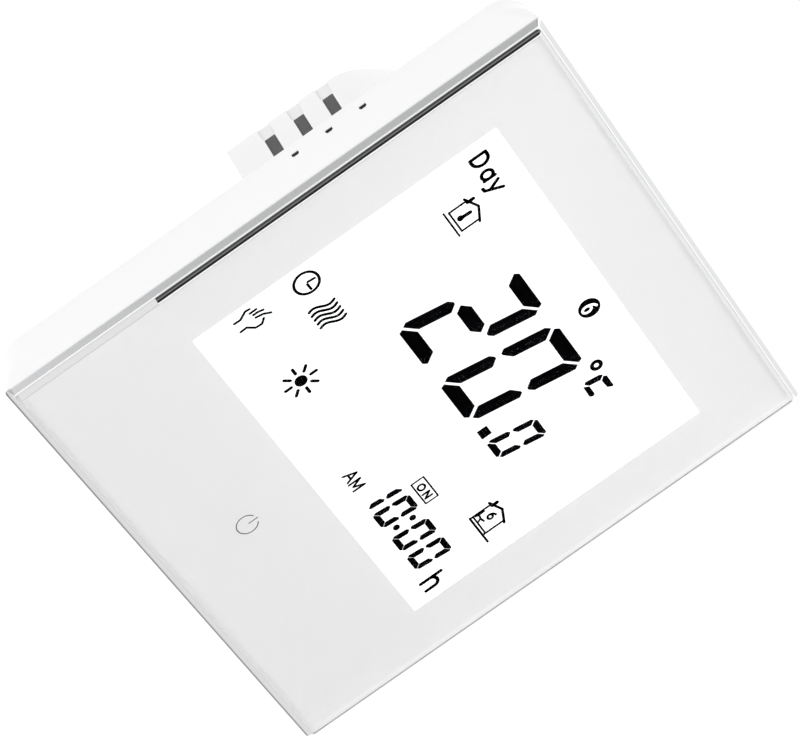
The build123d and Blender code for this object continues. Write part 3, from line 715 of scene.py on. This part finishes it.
def segment_shapes(width, height, thickness, gap):
    """Outlines of the seven segments of an upright digit, from its lower left corner."""
    t, g, w, h, m = thickness, gap, width, height, height / 2
    nip = 0.28 * t  # how far the outer corners are cut
    top = [
        (g + 0.7 * nip, h),
        (w - g - 0.7 * nip, h),
        (w - g, h - nip),
        (w - g - t + nip, h - t),
        (g + t - nip, h - t),
        (g, h - nip),
    ]
    side = [
        (nip, h - g),
        (0, h - g - nip),
        (0, m + g / 2 + nip),
        (nip, m + g / 2),
        (0.45 * t, m + g / 2),
        (t, m + g / 2 + 0.5 * t),
        (t, h - g - t + nip),
    ]
    middle = [
        (g + 0.35 * t, m),
        (g + 0.85 * t, m + t / 2),
        (w - g - 0.85 * t, m + t / 2),
        (w - g - 0.35 * t, m),
        (w - g - 0.85 * t, m - t / 2),
        (g + 0.85 * t, m - t / 2),
    ]

    def flip_x(outline):
        return [(w - x, z) for x, z in outline]

    def flip_z(outline):
        return [(x, h - z) for x, z in outline]

    return {
        "a": top,
        "b": flip_x(side),
        "c": flip_x(flip_z(side)),
        "d": flip_z(top),
        "e": flip_z(side),
        "f": side,
        "g": middle,
    }


def digit(ink, figure, x, z, width, height, thickness, gap, slant):
    """A seven-segment figure with its lower left corner at x, z.

    Its top leans to the right by slant times its height.
    """
    shapes = segment_shapes(width, height, thickness, gap)
    for name in SEGMENTS[figure]:
        ink.polygon([(x + px + slant * pz, z + pz) for px, pz in shapes[name]])


def house(ink, left, right, floor, eaves, peak, line):
    """A house outline with a chimney at its left."""
    middle = (left + right) / 2
    roof_left, roof_right = left - 0.45, right + 0.4
    chimney, chimney_foot = left + 0.32, eaves + 0.15
    ink.stroke([(left, floor), (left, eaves)], line)
    ink.stroke([(right, floor), (right, eaves)], line)
    ink.stroke([(roof_left, eaves), (middle, peak), (roof_right, eaves)], line * 1.2)
    ink.stroke([(chimney, chimney_foot), (chimney, peak)], line * 1.8)


# Each letter's strokes, in a frame one unit wide and one high.
LETTERS = {
    "A": [[(0, 0), (0.5, 1), (1, 0)], [(0.2, 0.36), (0.8, 0.36)]],
    "D": [[(0, 0), (0, 1), *arc(0.35, 0.5, 0.65, 0.5, 90, -90), (0, 0)]],
    "M": [[(0, 0), (0, 1), (0.5, 0.2), (1, 1), (1, 0)]],
    "N": [[(0, 0), (0, 1), (1, 0), (1, 1)]],
    "O": [arc(0.5, 0.5, 0.5, 0.5, 0, 360, 24)],
    "a": [arc(0.5, 0.35, 0.5, 0.35, 0, 360, 20), [(1, 0.7), (1, 0)]],
    "h": [[(0, 0), (0, 1)], [*arc(0.5, 0.44, 0.5, 0.24, 180, 0, 12), (1, 0)]],
    "y": [[(0, 0.7), (0.5, 0)], [(1, 0.7), (0.5, 0), (0.3, -0.28), (0, -0.3)]],
    "6": [arc(0.5, 0.32, 0.5, 0.32, 0, 360, 20), arc(1.0, 0.32, 1.0, 0.68, 180, 100, 10)],
}


def letter(ink, name, x, z, width, height, line):
    """A letter drawn in strokes, x and z being its lower left corner."""
    for route in LETTERS[name]:
        ink.stroke([(x + px * width, z + pz * height) for px, pz in route], line)


# Seen at a slant, what lies behind the glass looks moved to the left, so the figures stand
# this far to the right.
DISPLAY_SHIFT = 0.80
PRINT_SHIFT = 0.60
UP_RIGHT = 0.2  # lean of the temperature's figures
LARGE_FIGURE = {"height": 18.0, "thickness": 2.22, "gap": 0.95, "slant": UP_RIGHT}
SMALL_FIGURE = {"height": 7.75, "thickness": 1.05, "gap": 0.42, "slant": UP_RIGHT}
CLOCK_FIGURE = {"height": 6.0, "thickness": 0.92, "gap": 0.30, "slant": UP_RIGHT / 2}
SEGMENT_DEPTH = DISPLAY_Y - 0.005 * MM
BADGE_NUMBER_DEPTH = DISPLAY_Y - 0.03 * MM
PRINT_DEPTH = PRINT_Y + 0.01 * MM


def draw_temperature(look):
    figures = Ink()
    digit(figures, "2", -14.17, 3.1, 9.75, **LARGE_FIGURE)
    digit(figures, "0", -1.42, 3.1, 9.85, **LARGE_FIGURE)
    digit(figures, "0", 13.33, 3.3, 4.1, **SMALL_FIGURE)
    figures.polygon([(10.75, 3.25), (12.5, 3.25), (12.5, 4.9), (10.75, 4.9)])
    figures.finish("temperature_figures", look, SEGMENT_DEPTH, DISPLAY_SHIFT)

    unit = Ink()
    unit.ring(13.36, 22.18, 0.68, 0.60)
    upper = [(15.85, 22.05), (16.15, 22.5), (18.4, 22.5), (18.55, 22.3), (18.05, 21.6), (16.45, 21.5)]
    back = [(14.85, 19.5), (15.2, 19.2), (15.85, 19.7), (16.2, 21.4), (15.6, 22.1), (15.2, 21.7)]
    lower = [(15.45, 18.85), (17.6, 18.8), (17.9, 19.15), (17.9, 19.5), (17.6, 19.65), (15.95, 19.65)]
    for outline in (upper, back, lower):
        unit.polygon(outline)
    unit.finish("temperature_unit", look, SEGMENT_DEPTH, DISPLAY_SHIFT)


def draw_clock(look):
    clock = Ink()
    for figure, x in (("1", 7.75), ("0", 12.25), ("0", 18.1), ("0", 22.8)):
        digit(clock, figure, x, -15.48, 3.42, **CLOCK_FIGURE)
    clock.disc(17.2, -11.15, 0.52)
    clock.disc(16.95, -13.8, 0.52)
    clock.finish("clock_figures", look, SEGMENT_DEPTH, DISPLAY_SHIFT)


def draw_houses(look):
    home = Ink()
    house(home, -25.55, -21.6, 18.25, 20.98, 22.05, 0.32)
    home.stroke([(-26.0, 17.6), (-21.1, 17.6)], 0.28)
    home.stroke([(-25.6, 18.25), (-21.65, 18.25)], 0.28)
    home.stroke([(-23.52, 20.65), (-23.6, 19.2)], 0.6)
    home.disc(-23.62, 19.1, 0.5)
    home.finish("home_symbol", look, SEGMENT_DEPTH, DISPLAY_SHIFT)

    away = Ink()
    house(away, 23.9, 27.95, -4.95, -1.45, -0.5, 0.34)
    away.stroke([(23.8, -4.98), (29.6, -4.98)], 0.34)
    away.stroke([(23.9, -4.45), (27.8, -4.5)], 0.28)
    letter(away, "6", 25.38, -2.92, 0.85, 1.25, 0.36)
    away.stroke([(24.2, -2.7), (24.25, -3.4), (24.15, -4.1)], 0.32)
    away.stroke([(24.1, -3.6), (25.1, -3.75), (25.8, -3.6)], 0.32)
    away.stroke([(25.0, -3.75), (25.3, -4.3)], 0.32)
    away.finish("away_symbol", look, SEGMENT_DEPTH, DISPLAY_SHIFT)


WAVE_COUNT = 5
FIRST_WAVE_X = -25.05
WAVE_PITCH = 0.86
WAVE_SWING = 0.47
WAVE_LENGTH = 4.6
WAVE_CREST = -1.75
WAVE_TOP = -0.9
WAVE_HEIGHT = 3.85
WAVE_STEPS = 14


def draw_symbols(look):
    """The clock's face, the heat waves, the hand and the sun."""
    dial = Ink()
    dial.ring(-29.98, -2.5, 1.83, 0.42)
    dial.stroke([(-29.9, -1.25), (-30.02, -2.3)], 0.38)
    dial.stroke([(-29.7, -2.53), (-28.65, -2.5)], 0.38)
    dial.finish("clock_symbol", look, SEGMENT_DEPTH, DISPLAY_SHIFT)

    heat = Ink()
    heights = [WAVE_TOP - WAVE_HEIGHT * k / WAVE_STEPS for k in range(WAVE_STEPS + 1)]
    swings = [WAVE_SWING * math.cos(2 * math.pi * (z - WAVE_CREST) / WAVE_LENGTH) for z in heights]
    for i in range(WAVE_COUNT):
        middle = FIRST_WAVE_X + WAVE_PITCH * i
        heat.stroke([(middle + swing, z) for swing, z in zip(swings, heights)], 0.42)
    heat.finish("heating_symbol", look, SEGMENT_DEPTH, DISPLAY_SHIFT)

    hand = Ink()
    hand_routes = [
        [(-31.38, -13.5), (-31.35, -12.5), (-32.1, -11.3), (-32.0, -10.65)],
        [(-31.32, -9.95), (-31.32, -11.0)],
        [(-30.53, -9.25), (-30.75, -10.0), (-30.75, -10.75)],
        [(-29.32, -8.65), (-29.92, -9.6), (-30.14, -10.7)],
        [(-29.25, -9.9), (-28.6, -10.55), (-28.68, -11.55), (-29.62, -12.5), (-29.56, -13.5)],
    ]
    for route in hand_routes:
        hand.stroke(route, 0.36)
    hand.finish("hand_symbol", look, SEGMENT_DEPTH, DISPLAY_SHIFT)

    sun = Ink()
    x, z = -16.12, -11.3
    sun.disc(x, z, 0.95, 32)
    for i in range(8):
        turn = math.pi * i / 4
        ray = [(x + r * math.cos(turn), z + r * math.sin(turn)) for r in (1.6, 2.55)]
        sun.stroke(ray, 0.48)
    sun.finish("sun_symbol", look, SEGMENT_DEPTH, DISPLAY_SHIFT)


def draw_words(look, pale_look):
    """The day badge with its pale number, the frame round ON, and the letters."""
    badge = Ink()
    badge.disc(3.58, 26.03, 1.66, 48)
    badge.finish("day_badge", look, SEGMENT_DEPTH, DISPLAY_SHIFT)

    frame_line = Ink()
    left, right, low, high = 11.87, 16.45, -8.48, -6.4
    frame_line.stroke([(left, low), (right, low), (right, high), (left, high), (left, low)], 0.26)
    frame_line.finish("on_frame", look, SEGMENT_DEPTH, DISPLAY_SHIFT)

    words = Ink()
    letter(words, "D", -30.9, 24.55, 1.75, 2.5, 0.52)
    letter(words, "a", -28.0, 24.55, 1.5, 2.5, 0.50)
    letter(words, "y", -25.6, 24.55, 1.7, 2.5, 0.50)
    letter(words, "A", 3.05, -15.2, 1.5, 1.95, 0.34)
    letter(words, "M", 5.05, -15.3, 1.45, 1.95, 0.34)
    letter(words, "O", 12.8, -8.1, 1.1, 1.1, 0.34)
    letter(words, "N", 14.7, -8.1, 0.9, 1.15, 0.34)
    letter(words, "h", 28.97, -16.25, 1.72, 3.5, 0.56)
    words.finish("display_words", look, SEGMENT_DEPTH, DISPLAY_SHIFT)

    number = Ink()
    letter(number, "6", 3.05, 24.95, 1.05, 2.15, 0.36)
    number.finish("day_number", pale_look, BADGE_NUMBER_DEPTH, DISPLAY_SHIFT)


def draw_key_symbol(look):
    """The power symbol printed behind the glass."""
    key = Ink()
    x, z, radius = 0.1, -29.55, 1.6
    line = 0.16
    key.ring(x, z, radius, line, 115, 425, 60)
    key.stroke([(x, z + 0.3), (x, z + 1.75)], line)
    key.finish("power_symbol", look, PRINT_DEPTH, PRINT_SHIFT)


make_camera()
make_world()
make_floor()
make_light("key_light", (-0.9, -0.5, 0.7), size=0.6, watts=0.35)
make_light("face_light", (0.08, -0.56, 0.60), size=0.5, watts=2.3)
make_card(
    "dark_flag", (0.328, -0.36, -0.028), width=0.53, height=0.45, shade=0.0, through_glass=True
)
make_card("bevel_flag", (-0.31, -0.33, 0.10), width=0.22, height=0.44, shade=0.36)
paint_nodes()
fill_vents()
black_ink = ink_look("segment_black", (0.002, 0.002, 0.0025))
grey_ink = ink_look("print_grey", (0.10, 0.10, 0.11))
pale_ink = ink_look("pale_ink", grey(0.85), glow=0.6)
draw_temperature(black_ink)
draw_clock(black_ink)
draw_houses(black_ink)
draw_symbols(black_ink)
draw_words(black_ink, pale_ink)
draw_key_symbol(grey_ink)
